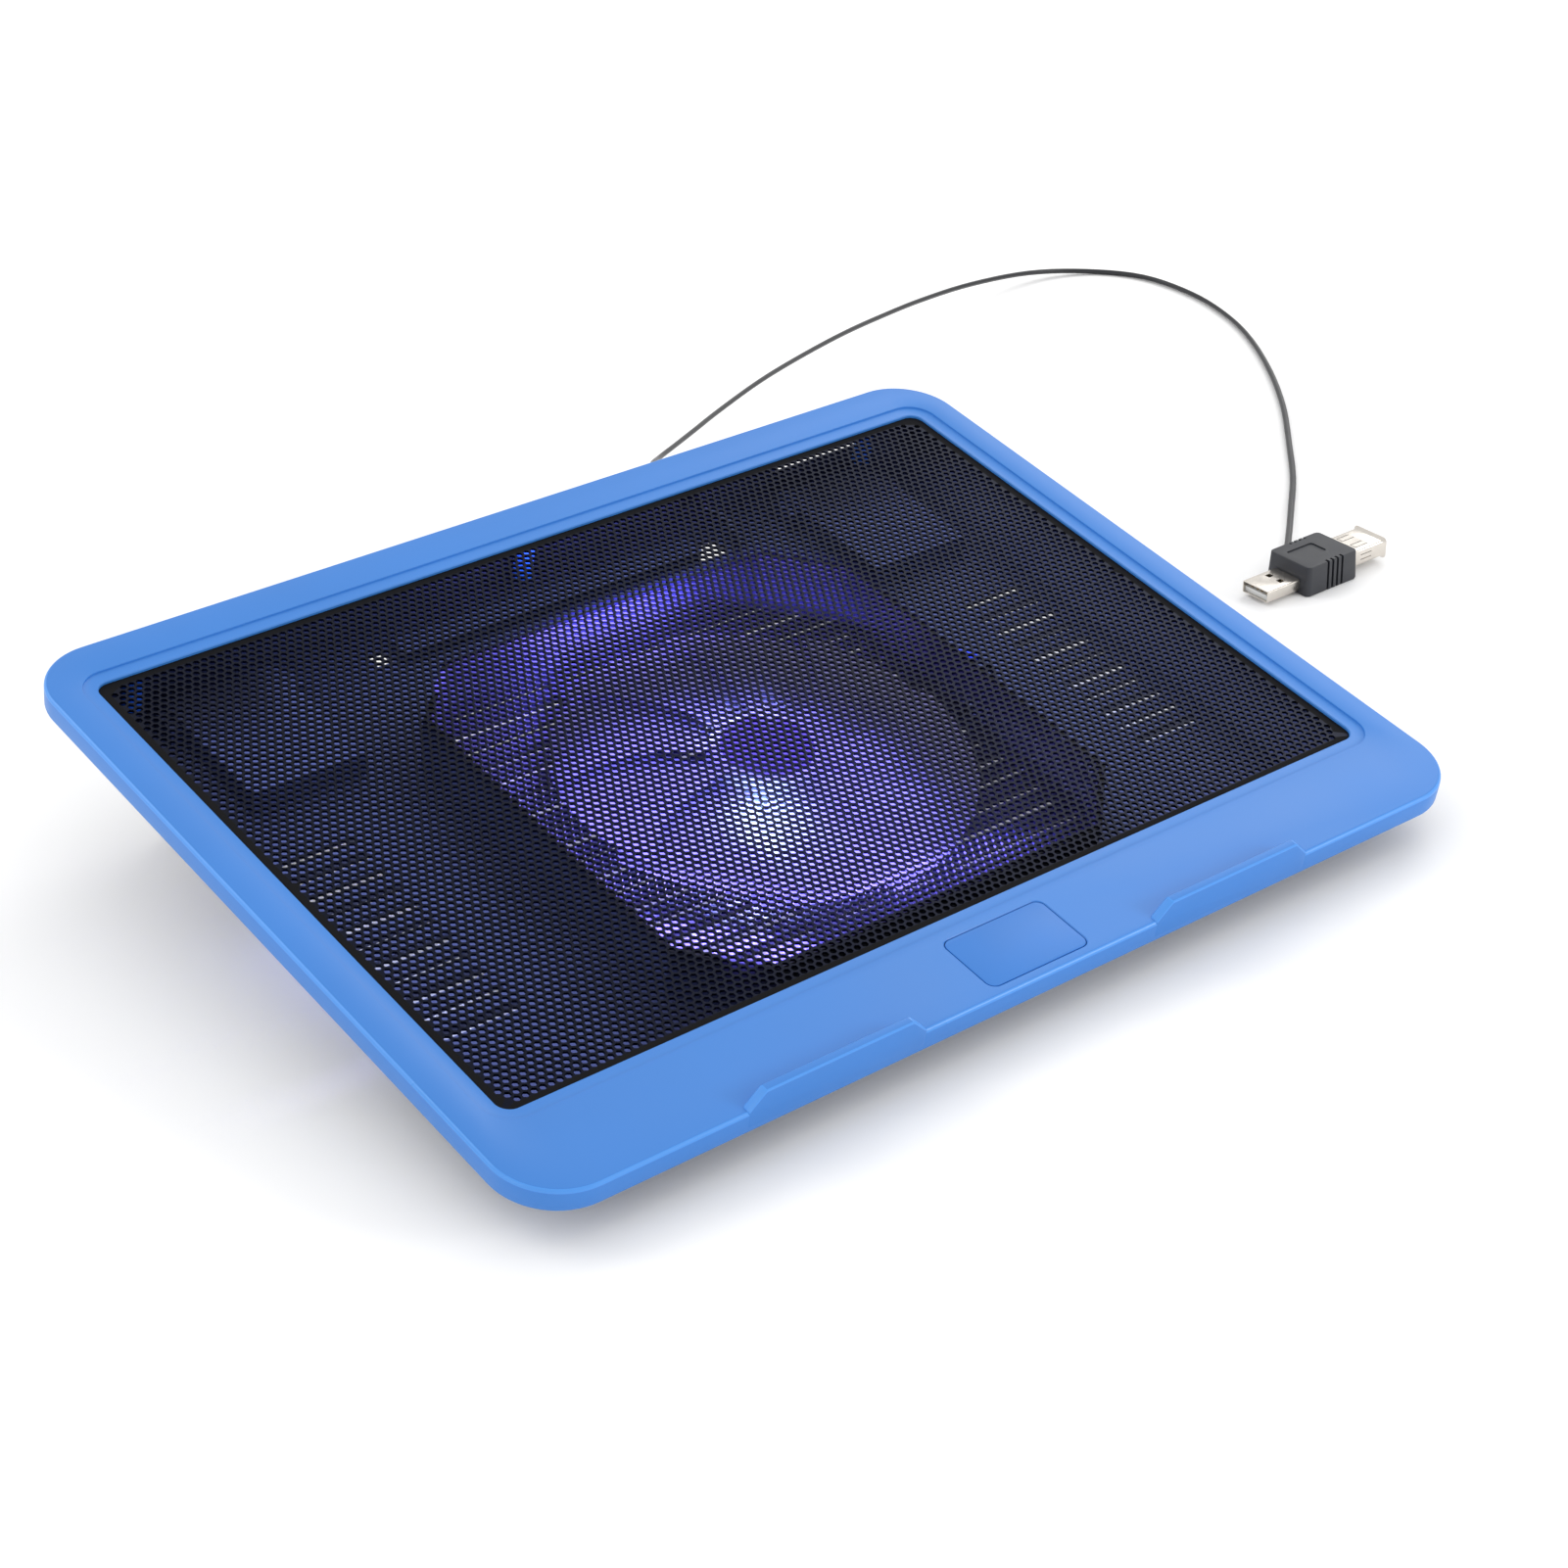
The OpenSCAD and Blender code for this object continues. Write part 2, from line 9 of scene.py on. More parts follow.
import bmesh
import bpy
from mathutils import Matrix, Vector
from mathutils.geometry import delaunay_2d_cdt


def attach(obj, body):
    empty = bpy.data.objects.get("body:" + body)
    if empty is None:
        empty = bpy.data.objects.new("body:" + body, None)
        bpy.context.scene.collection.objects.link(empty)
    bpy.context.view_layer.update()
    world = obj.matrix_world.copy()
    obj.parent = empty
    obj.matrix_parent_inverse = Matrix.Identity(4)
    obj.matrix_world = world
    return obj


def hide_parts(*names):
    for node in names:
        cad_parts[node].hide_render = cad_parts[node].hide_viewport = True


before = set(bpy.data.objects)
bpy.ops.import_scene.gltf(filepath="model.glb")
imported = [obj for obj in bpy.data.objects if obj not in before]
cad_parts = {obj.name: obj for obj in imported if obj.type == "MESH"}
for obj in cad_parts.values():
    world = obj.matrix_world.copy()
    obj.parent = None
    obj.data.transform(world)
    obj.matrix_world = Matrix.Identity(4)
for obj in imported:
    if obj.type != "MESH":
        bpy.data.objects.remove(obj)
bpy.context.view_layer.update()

# ---------- sizes, the same as the CAD model's ----------

PAD_W, PAD_D, CASE_H = 340, 260, 22.5
TILT = math.radians(10)
SKIRT_H = 7
STOP_H = 5.2
CORNER_R = 20
WALL_T = 2
PLATE_UNDER = 20.7
WINDOW_W, WINDOW_D, WINDOW_Y, WINDOW_R = 312, 208.5, 7.75, 4.5
LEDGE_W, LEDGE_DROP = 4.4, 0.8
MESH_T, MESH_LAP = 0.8, 3
STOP_X, STOP_W, STOP_T = (-74, 70), 60, 3
BADGE_W, BADGE_D, BADGE_R, BADGE_Y, BADGE_DEPTH = 36.5, 22, 3, -115.7, 1.1
SCREW_X, SCREW_Y = (-140, 0, 140), (-104, 118.2)
BOSS_R, SCREW_R, SCREW_PAD_H, SCREW_TIP_Z = 3.2, 1.3, 4, 13
FAN_Y = -6
HUB_R, HUB_BOTTOM, HUB_CEILING, HUB_TOP = 17.5, 6.4, 15, 17.5
MAGNET_R = 13.2
BLADE_TIP_R, BLADE_BOTTOM, BLADE_TOP, BLADES = 63.5, 6.2, 16.8, 9
LAMP = (-20.5, -29)
TRAY_BACK_Y = 124
CABLE_EXIT = Vector((68, 127, 11))
FOOT_BALL_R, FOOT_DROP, FOOT_Y = 9, 2, -95
PLUG_LOW, PLUG_SIZE = Vector((247, 8.4, 0)), Vector((25, 20, 11))
PLUG_MID = PLUG_LOW + PLUG_SIZE / 2
CABLE_ENTRY = Vector((257, 28.4, 5.5))
PLUG_SHELL = (15.5, 12, 4.5)
PLUG_SHELL_Z = 3.7
SOCKET_SHELL = (16.5, 13.4, 6)


def raised(y, z):
    """Height that a point of the flat case gains by leaning back."""
    return y * math.sin(TILT) + z * math.cos(TILT)


lift = FOOT_BALL_R - raised(FOOT_Y, FOOT_BALL_R - FOOT_DROP)
front_reach = PAD_D / 2 * math.cos(TILT) + (CASE_H + STOP_H) * math.sin(TILT)
back_reach = PAD_D / 2 * math.cos(TILT) - (CASE_H - SKIRT_H) * math.sin(TILT)
slide_y = (front_reach - back_reach) / 2

STANDING = Matrix.Scale(0.001, 4)
LEANING = STANDING @ Matrix.Translation((0, slide_y, lift)) @ Matrix.Rotation(TILT, 4, "X")
AT_FAN = LEANING @ Matrix.Translation((0, FAN_Y, 0))


# ---------- outlines ----------


def arc(centre, r, start, end, steps):
    """Points of an arc about a 2-D centre, from one angle to another in degrees."""
    angles = (math.radians(start + (end - start) * k / steps) for k in range(steps + 1))
    return [(centre[0] + r * math.cos(a), centre[1] + r * math.sin(a)) for a in angles]


def rounded_rect(w, d, r, middle=(0, 0), steps=8):
    """Outline of a rounded rectangle, anticlockwise."""
    points = []
    for quarter, (sx, sy) in enumerate(((1, 1), (-1, 1), (-1, -1), (1, -1))):
        centre = (middle[0] + sx * (w / 2 - r), middle[1] + sy * (d / 2 - r))
        points += arc(centre, r, 90 * quarter, 90 * quarter + 90, steps)
    return points


def level(outline, z):
    """A 2-D outline at one height."""
    return [(x, y, z) for x, y in outline]


def shrunk(corners, by):
    """A convex anticlockwise polygon with every side moved inwards."""
    moved = []
    for i, here in enumerate(corners):
        before, after = Vector(corners[i - 1]), Vector(corners[(i + 1) % len(corners)])
        here = Vector(here)
        into, out = (here - before).normalized(), (after - here).normalized()
        inwards = Vector((-into.y - out.y, into.x + out.x)).normalized()
        moved.append(here + inwards * by / max(0.2, inwards.dot(Vector((-into.y, into.x)))))
    return [tuple(p) for p in moved]


def softened(corners, r, steps=5):
    """A convex polygon with its corners rounded."""
    points = []
    for i, here in enumerate(corners):
        here = Vector(here)
        into = (Vector(corners[i - 1]) - here).normalized()
        out = (Vector(corners[(i + 1) % len(corners)]) - here).normalized()
        reach = r / math.tan(into.angle(out) / 2)
        start, end = here + into * reach, here + out * reach
        for k in range(steps + 1):
            t = k / steps
            points.append(tuple(start * (1 - t) ** 2 + here * 2 * t * (1 - t) + end * t * t))
    return points


# ---------- solids ----------


def loft(bm, loops, ring=False):
    """Walls between loops of as many points each, with flat ends unless the last loop meets the first."""
    rows = [[bm.verts.new(p) for p in loop] for loop in loops]
    pairs = list(zip(rows, rows[1:]))
    if ring:
        pairs.append((rows[-1], rows[0]))
    for a, b in pairs:
        for k in range(len(a)):
            n = (k + 1) % len(a)
            bm.faces.new((a[k], a[n], b[n], b[k]))
    if not ring:
        bm.faces.new(rows[0][::-1])
        bm.faces.new(rows[-1])
    return bm


def turned(bm, profile, steps=96, place=None):
    """A closed profile of (radius, height) points turned about Z; points at radius 0 close it there."""
    place = place or Matrix.Identity(4)
    rows = []
    for r, z in profile:
        count = 1 if r == 0 else steps
        angles = (math.tau * k / steps for k in range(count))
        rows.append([bm.verts.new(place @ Vector((r * math.cos(a), r * math.sin(a), z))) for a in angles])
    closed = profile[0][0] > 0 or profile[-1][0] > 0
    for a, b in zip(rows, rows[1:] + rows[:1] if closed else rows[1:]):
        for k in range(steps):
            n = (k + 1) % steps
            corners = [a[k % len(a)], a[n % len(a)], b[n % len(b)], b[k % len(b)]]
            bm.faces.new(list(dict.fromkeys(corners)))
    return bm


def box_in(bm, low, high):
    """A plain block, for cutting with."""
    size = Vector(high) - Vector(low)
    middle = (Vector(high) + Vector(low)) / 2
    bmesh.ops.create_cube(bm, size=1, matrix=Matrix.Translation(middle) @ Matrix.Diagonal((*size, 1)))
    return bm


def loose(bm, name):
    """bm as an object in the scene, with its faces turned outwards."""
    mesh = bpy.data.meshes.new(name)
    bmesh.ops.recalc_face_normals(bm, faces=bm.faces)
    bm.to_mesh(mesh)
    made = bpy.data.objects.new(name, mesh)
    bpy.context.scene.collection.objects.link(made)
    return made


def cut(bm, tool):
    """bm with the solids in tool taken away."""
    body, cutter = loose(bm, "body"), loose(tool, "cutter")
    modifier = body.modifiers.new("cut", "BOOLEAN")
    modifier.object = cutter
    modifier.solver = "EXACT"
    modifier.use_self = True
    evaluated = body.evaluated_get(bpy.context.evaluated_depsgraph_get())
    result = bmesh.new()
    result.from_mesh(evaluated.to_mesh())
    for made in (body, cutter):
        bpy.data.objects.remove(made)
    return result


def piece(name, bm, place, material, slot, body, *nodes, smooth=35):
    """bm as a named piece that rides on a body and stands for CAD nodes."""
    bm.transform(place)
    made = loose(bm, name)
    made.data.shade_smooth()
    made.data.set_sharp_from_angle(angle=math.radians(smooth))
    made.data.materials.append(material)
    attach(made, body)
    if nodes:
        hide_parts(*nodes)
    return made


# ---------- wires ----------


def smoothed(route, steps):
    """A smooth curve through a route's points."""
    points = [Vector(p) for p in route]
    curve = []
    for i in range(len(points) - 1):
        a, b = points[max(i - 1, 0)], points[i]
        c, d = points[i + 1], points[min(i + 2, len(points) - 1)]
        for k in range(steps):
            t = k / steps
            bend = (2 * a - 5 * b + 4 * c - d) * t * t + (3 * b - a - 3 * c + d) * t**3
            curve.append((2 * b + (c - a) * t + bend) / 2)
    return curve + [points[-1]]


def swept(bm, path, section, roll=0.0, roll_per_mm=0.0, off_axis=0.0):
    """A section of (side, up) points swept along a path and rolled about it.

    off_axis moves it off the path, for a strand that is twisted round another.
    """
    loops, travelled = [], 0.0
    for i, here in enumerate(path):
        along = (path[min(i + 1, len(path) - 1)] - path[max(i - 1, 0)]).normalized()
        side = along.cross(Vector((0, 0, 1))).normalized()
        up = side.cross(along)
        travelled += (here - path[i - 1]).length if i else 0.0
        angle = roll + roll_per_mm * travelled
        across = side * math.cos(angle) + up * math.sin(angle)
        rise = up * math.cos(angle) - side * math.sin(angle)
        loops.append([here + across * (x + off_axis) + rise * y for x, y in section])
    return loft(bm, loops)


def round_section(r, steps=12):
    """Outline of a round wire."""
    return arc((0, 0), r, 0, 360, steps)[:-1]


def twin_section(r, spread, steps=8):
    """Outline of two round cores side by side in one sheath."""
    meet = math.degrees(math.acos(spread / r))
    right = arc((spread, 0), r, meet - 180, 180 - meet, 2 * steps)
    left = arc((-spread, 0), r, meet, 360 - meet, 2 * steps)
    return right[:-1] + left[:-1]


# Radius of the cable's two cores, and how far each one's middle lies from the cable's
CABLE_CORES = (0.85, 0.47)


# ---------- materials ----------


def srgb(r, g, b):
    """Linear colour of 0-255 display values."""
    linear = [(c / 255 + 0.055) / 1.055 for c in (r, g, b)]
    return [c**2.4 if c > 0.0931 else max(0, c * 1.055 - 0.055) / 12.92 for c in linear]


def finish(name, colour, roughness, grain_mm, bump_mm, patch_mm=20, tint=0.08, spread=0.08, **sockets):
    """A material with fine grain in its relief, and slow changes of tint and gloss.

    grain_mm is the grain's size and bump_mm its height; patch_mm is the size of the slow changes.
    """
    material = bpy.data.materials.new(name)
    material.use_nodes = True
    nodes, links = material.node_tree.nodes, material.node_tree.links
    shader = nodes["Principled BSDF"]
    place = nodes.new("ShaderNodeTexCoord")

    patches = nodes.new("ShaderNodeTexNoise")
    patches.inputs["Scale"].default_value = 1000 / patch_mm
    patches.inputs["Detail"].default_value = 3
    links.new(place.outputs["Object"], patches.inputs["Vector"])

    hue = nodes.new("ShaderNodeValToRGB")
    hue.color_ramp.elements[0].position = 0.3
    hue.color_ramp.elements[0].color = [c * (1 - tint) for c in colour] + [1]
    hue.color_ramp.elements[1].position = 0.7
    hue.color_ramp.elements[1].color = [min(1, c * (1 + tint)) for c in colour] + [1]
    links.new(patches.outputs["Fac"], hue.inputs["Fac"])
    links.new(hue.outputs["Color"], shader.inputs["Base Color"])

    gloss = nodes.new("ShaderNodeMapRange")
    gloss.inputs["To Min"].default_value = max(0.02, roughness - spread)
    gloss.inputs["To Max"].default_value = min(1, roughness + spread)
    links.new(patches.outputs["Fac"], gloss.inputs["Value"])
    links.new(gloss.outputs["Result"], shader.inputs["Roughness"])

    grain = nodes.new("ShaderNodeTexNoise")
    grain.inputs["Scale"].default_value = 1000 / grain_mm
    grain.inputs["Detail"].default_value = 4
    links.new(place.outputs["Object"], grain.inputs["Vector"])
    relief = nodes.new("ShaderNodeBump")
    relief.inputs["Strength"].default_value = 1
    relief.inputs["Distance"].default_value = bump_mm / 1000
    links.new(grain.outputs["Fac"], relief.inputs["Height"])
    links.new(relief.outputs["Normal"], shader.inputs["Normal"])

    for socket, value in sockets.items():
        shader.inputs[socket.replace("_", " ")].default_value = value
    return material


# Distance between the bands of a wave texture whose scale is 1
WAVE_MM = 314


def wound(material, pitch_mm, direction, ridge_mm=0.2):
    """Adds ridges at an even pitch to a material's relief, as wound wire or stacked sheets have."""
    nodes, links = material.node_tree.nodes, material.node_tree.links
    turns = nodes.new("ShaderNodeTexWave")
    turns.bands_direction = direction
    turns.inputs["Scale"].default_value = WAVE_MM / pitch_mm
    ridges = nodes.new("ShaderNodeBump")
    ridges.inputs["Distance"].default_value = ridge_mm / 1000
    links.new(nodes["Texture Coordinate"].outputs["Object"], turns.inputs["Vector"])
    links.new(turns.outputs["Fac"], ridges.inputs["Height"])
    links.new(nodes["Bump"].outputs["Normal"], ridges.inputs["Normal"])
    links.new(ridges.outputs["Normal"], nodes["Principled BSDF"].inputs["Normal"])
    return material


def milky(material, colour, share):
    """Lets a share of the light through a material, scattered as milky plastic scatters it."""
    nodes, links = material.node_tree.nodes, material.node_tree.links
    through = nodes.new("ShaderNodeBsdfTranslucent")
    through.inputs["Color"].default_value = (*colour, 1)
    both = nodes.new("ShaderNodeMixShader")
    both.inputs["Fac"].default_value = share
    links.new(nodes["Principled BSDF"].outputs["BSDF"], both.inputs[1])
    links.new(through.outputs["BSDF"], both.inputs[2])
    links.new(both.outputs["Shader"], nodes["Material Output"].inputs["Surface"])
    return material


BLUE = finish("frame_blue", srgb(50, 121, 201), 0.42, 0.7, 0.012, patch_mm=60, tint=0.03)
# Lighter blue of the rounded rim and ridge edges: a painted highlight, on a smoother finish
BLUE_PAINTED_HIGHLIGHT = finish("frame_edge_painted_highlight", srgb(70, 142, 222), 0.3, 0.7, 0.004, patch_mm=60, tint=0.03)
BADGE = finish("badge_blue", srgb(48, 118, 199), 0.46, 0.7, 0.008, patch_mm=25, tint=0.03)
MESH = finish("mesh_black", srgb(14, 18, 34), 0.4, 0.5, 0.01, tint=0.15, Metallic=0.9, Specular_IOR_Level=0.2)
# Near-black, matte colour of the panel's plain border: painted shade, darker than the rest of the panel's
# paint
MESH_BORDER_PAINTED_SHADE = finish("mesh_border_painted_shade", srgb(6, 6, 10), 0.8, 0.5, 0.01, tint=0.15, Specular_IOR_Level=0.15)
TRAY = finish("tray_grey", srgb(56, 59, 70), 0.5, 0.6, 0.02, tint=0.1)
RUBBER = finish("rubber_grey", srgb(52, 52, 55), 0.8, 0.4, 0.02, tint=0.12)
STEEL = finish("steel", srgb(196, 196, 200), 0.28, 0.2, 0.004, tint=0.05, Metallic=1.0)
# Painted glow: faint emission on the milky plastic that stands for the lamp's light scattered in it
PAINTED_GLOW = {"Emission_Color": (*srgb(138, 132, 255), 1), "Emission_Strength": 0.12}
CLEAR = finish("fan_clear", srgb(214, 214, 236), 0.38, 1.2, 0.01, tint=0.03, **PAINTED_GLOW)
CLEAR = milky(CLEAR, srgb(222, 222, 244), 0.5)
# Grey film tinted violet: the grey is its own colour, the violet is painted light of the lamp on the hub
CAP_PAINTED_VIOLET_LIGHT = finish("cap_grey", srgb(88, 74, 122), 0.4, 0.3, 0.006, tint=0.1)
MAGNET = finish("magnet", srgb(46, 44, 44), 0.6, 0.3, 0.015, tint=0.1)
WHITE = finish("motor_white", srgb(222, 222, 218), 0.45, 0.5, 0.01, tint=0.04)
BRONZE = finish("bronze", srgb(176, 128, 72), 0.4, 0.15, 0.01, tint=0.12, Metallic=1.0)
CORE = wound(finish("core_steel", srgb(120, 122, 128), 0.4, 0.3, 0.006, Metallic=1.0), 5, "Z")
COPPER = wound(finish("copper", srgb(186, 98, 52), 0.35, 0.4, 0.004, tint=0.1, Metallic=1.0), 3, "Z")
BOARD = finish("board_green", srgb(24, 92, 52), 0.4, 0.8, 0.01, patch_mm=3, tint=0.25)
LAMP_LIGHT = {"Emission_Color": (*srgb(170, 180, 255), 1), "Emission_Strength": 40.0}
LED = finish("led", srgb(235, 240, 255), 0.2, 0.4, 0.004, **LAMP_LIGHT)
LEAD = finish("lead_black", srgb(22, 22, 24), 0.4, 0.3, 0.01, tint=0.12)
SPLICE = finish("splice_blue", srgb(26, 62, 196), 0.4, 0.4, 0.02, tint=0.1)
CABLE = finish("cable_black", srgb(22, 23, 28), 0.36, 0.3, 0.01, patch_mm=12, tint=0.12)
GROMMET = finish("grommet_black", srgb(30, 30, 33), 0.6, 0.3, 0.012, tint=0.1)
PLUG = finish("plug_black", srgb(42, 44, 50), 0.5, 0.35, 0.02, patch_mm=8, tint=0.1)
NICKEL = finish("shell_nickel", srgb(214, 208, 200), 0.24, 0.15, 0.004, patch_mm=4, tint=0.05, Metallic=1.0)
TONGUE = finish("tongue_white", srgb(226, 226, 222), 0.4, 0.3, 0.006, patch_mm=4, tint=0.04)
GOLD = finish("contact_gold", srgb(222, 178, 92), 0.25, 0.15, 0.003, patch_mm=4, Metallic=1.0)

# ---------- camera, then the cable ----------

# The photo's camera, from a fit to the straight edges of the case; its turns are in degrees
CAMERA_PLACE = (-0.523, -0.6649, 0.505)
CAMERA_HEADING, CAMERA_BELOW_LEVEL, CAMERA_ROLL = -38.74, 29.84, -0.11
LENS_MM, SENSOR_MM = 75.45, 36


def camera():
    """The camera that the photo was taken with."""
    data = bpy.data.cameras.new("camera")
    data.lens = LENS_MM
    data.sensor_width = SENSOR_MM
    made = bpy.data.objects.new("camera", data)
    heading = Matrix.Rotation(math.radians(CAMERA_HEADING), 4, "Z")
    lowered = Matrix.Rotation(math.radians(90 - CAMERA_BELOW_LEVEL), 4, "X")
    rolled = Matrix.Rotation(math.radians(CAMERA_ROLL), 4, "Z")
    made.matrix_world = Matrix.Translation(CAMERA_PLACE) @ heading @ lowered @ rolled
    bpy.context.scene.collection.objects.link(made)
    bpy.context.scene.camera = made


# The same points as the CAD model's cable_route, in metres. A fitting script set the x and y of the
# middle ones from the photo, so they are still to be chosen again by hand, in both files.
FLOOR_LIE = 0.0014
CABLE_ROUTE = [
    LEANING @ CABLE_EXIT,
    LEANING @ (CABLE_EXIT + Vector((0, 10, 0))),
    (0.072, 0.146, 0.052),
    (0.082, 0.156, 0.048),
    (0.096, 0.166, 0.045),
    (0.112, 0.177, 0.042),
    (0.136, 0.193, 0.038),
    (0.169, 0.212, 0.034),
    (0.202, 0.230, 0.029),
    (0.237, 0.247, 0.024),
    (0.268, 0.261, 0.019),
    (0.302, 0.274, 0.014),
    (0.338, 0.284, 0.009),
    (0.374, 0.288, 0.004),
    (0.399, 0.279, FLOOR_LIE),
    (0.413, 0.259, FLOOR_LIE),
    (0.415, 0.232, FLOOR_LIE),
    (0.409, 0.206, FLOOR_LIE),
    (0.398, 0.182, FLOOR_LIE),
    (0.380, 0.154, FLOOR_LIE),
    (0.359, 0.127, FLOOR_LIE),
    (0.336, 0.102, FLOOR_LIE),
    (0.314, 0.079, FLOOR_LIE),
    (0.293, 0.060, 0.002),
    (0.275, 0.044, 0.0035),
    CABLE_ENTRY / 1000,
]


def usb_cable():
    """The twin cable from the case to the plug."""
    path = smoothed([Vector(p) * 1000 for p in CABLE_ROUTE], 5)
    bm = swept(bmesh.new(), path, twin_section(*CABLE_CORES), roll=math.radians(40))
    made = piece("cable", bm, STANDING, CABLE, "cable_black", "case", "usb_cable", smooth=60)
    length = sum((b - a).length for a, b in zip(path, path[1:])) / 1000
    return made, [tuple(p / 1000) for p in path], length


def strain_relief():
    """Grommet in the back wall, with a ribbed taper along the first of the cable."""
    behind = Matrix.Translation((CABLE_EXIT.x, TRAY_BACK_Y, CABLE_EXIT.z)) @ Matrix.Rotation(
        math.radians(-90), 4, "X"
    )
    profile = [(0, -3), (3.9, -3), (4.2, -2.7), (4.2, -2.2), (3, -2)]
    profile += [(3, 0), (3.9, 0), (4.2, 0.3), (4.2, 0.8), (3.9, 1.1), (3.1, 1.3)]
    for rib in range(4):
        z, r = 1.9 + rib * 2.2, 2.9 - rib * 0.25
        profile += [(r, z), (r, z + 1), (r - 0.45, z + 1.2), (r - 0.45, z + 1.9)]
    profile += [(1.7, 10.9), (0, 10.9)]
    bm = turned(bmesh.new(), profile, 32, behind)
    return piece("grommet", bm, LEANING, GROMMET, "grommet_black", "case", "cable_grommet")


# ---------- plug and socket ----------


def plug_body():
    """Overmoulded body with drafted sides, grip grooves and a plain recess on top."""
    edge, draft, corner_r = 0.4, 0.45, 1.8
    first_groove, groove_pitch = -2.6, 2.3
    loops = []
    for inset, z in ((0.9, 0), (0.35, 0.2), (0, 0.8)):
        w, d = PLUG_SIZE.x - 2 * inset, PLUG_SIZE.y - 2 * inset
        loops.append(level(rounded_rect(w, d, corner_r - inset, PLUG_MID.xy), z))
    for k in range(5):
        angle = math.radians(90 * k / 4)
        inset = draft + edge * (1 - math.cos(angle))
        w, d = PLUG_SIZE.x - 2 * inset, PLUG_SIZE.y - 2 * inset
        outline = rounded_rect(w, d, corner_r - edge * (1 - math.cos(angle)), PLUG_MID.xy)
        loops.append(level(outline, PLUG_SIZE.z - edge * (1 - math.sin(angle))))
    tool = bmesh.new()
    for side in (-1, 1):
        for groove in range(4):
            x = PLUG_MID.x + first_groove + groove * groove_pitch
            y = PLUG_MID.y + side * (PLUG_SIZE.y / 2)
            box_in(tool, (x - 0.5, min(y, y - side * 2), -1), (x + 0.5, max(y, y - side * 2), 12))
    recess = rounded_rect(12.5, 7.5, 1, (PLUG_MID.x - 2.5, PLUG_MID.y + 1))
    loft(tool, [level(recess, PLUG_SIZE.z - 0.45), level(recess, PLUG_SIZE.z + 1)])
    bm = cut(loft(bmesh.new(), loops), tool)
    return piece("plug", bm, STANDING, PLUG, "plug_black", "case", "plug_body")


def across_x(outline, x, middle):
    """A (y, z) outline about a middle, at one x."""
    return [(x, middle.y + y, middle.z + z) for y, z in outline]


def metal_shell(name, corner_x, axis, size, holes, flare, slot, node):
    """A thin metal tube of rounded section along X, with openings, and a flare at its +X end."""
    sheet = 0.35
    length, w, h = size
    middle = Vector((corner_x, *axis))

    def outline(grow, inner):
        shrink = 2 * sheet if inner else 0
        corner_r = 0.35 if inner else 0.7
        return rounded_rect(w - shrink + 2 * grow, h - shrink + 2 * grow, corner_r + grow, steps=4)

    steps = [(0, -0.12), (0.15, 0), (length - 1.6, 0), (length - 0.8, flare * 0.3), (length, flare)]
    outer = [across_x(outline(grow, False), corner_x + along, middle) for along, grow in steps]
    inner = [across_x(outline(grow, True), corner_x + along, middle) for along, grow in reversed(steps)]
    bm = loft(bmesh.new(), outer + inner, ring=True)
    tool = bmesh.new()
    for low, high in holes:
        box_in(tool, Vector(low) + middle, Vector(high) + middle)
    return piece(name, cut(bm, tool), STANDING, NICKEL, slot, "case", node)


def plug_shells():
    """The plug's shell with four latch holes, and the socket's with spring slots and a flared lip."""
    h = PLUG_SHELL[2]
    holes = []
    for side in (-1, 1):
        for y in (-2.6, 2.6):
            z = side * h / 2
            holes.append(((8.2, y - 1.05, min(z, z - side)), (10.4, y + 1.05, max(z + side, z))))
    start = PLUG_LOW.x - PLUG_SHELL[0]
    axis = (PLUG_MID.y, PLUG_SHELL_Z)
    male = metal_shell("plug_metal", start, axis, PLUG_SHELL, holes, 0, "shell_nickel", "plug_shell")

    w, h = SOCKET_SHELL[1:]
    slots = []
    for y in (-3.1, 3.1):
        for edge in (-1, 1):
            middle = y + edge * 1.25
            slots.append(((4, middle - 0.16, h / 2 - 0.8), (10, middle + 0.16, h / 2 + 1)))
        slots.append(((4, y - 1.25, h / 2 - 0.8), (4.35, y + 1.25, h / 2 + 1)))
    for side in (-1, 1):
        y = side * w / 2
        low, high = min(y - side, y + side), max(y - side, y + side)
        for z in (-0.9, 0.9):
            slots.append(((4.5, low, z - 0.15), (10, high, z + 0.15)))
    start = PLUG_LOW.x + PLUG_SIZE.x
    female = metal_shell(
        "socket_metal", start, PLUG_MID.yz, SOCKET_SHELL, slots, 0.9, "shell_nickel", "socket_shell"
    )
    return [male, female]


# ---------- frame and badge ----------


# The range of a face's upward normal on the rounded edges, which are smoother than the textured flats and
# carry a lighter blue that is a painted highlight
ROUNDED = (0.1, 0.98)


def on_rim(point):
    """Whether a point is on the frame's outermost edge or on a ridge."""
    dx = max(0, abs(point.x) - PAD_W / 2 + CORNER_R)
    dy = max(0, abs(point.y) - PAD_D / 2 + CORNER_R)
    return math.hypot(dx, dy) > CORNER_R - STOP_T


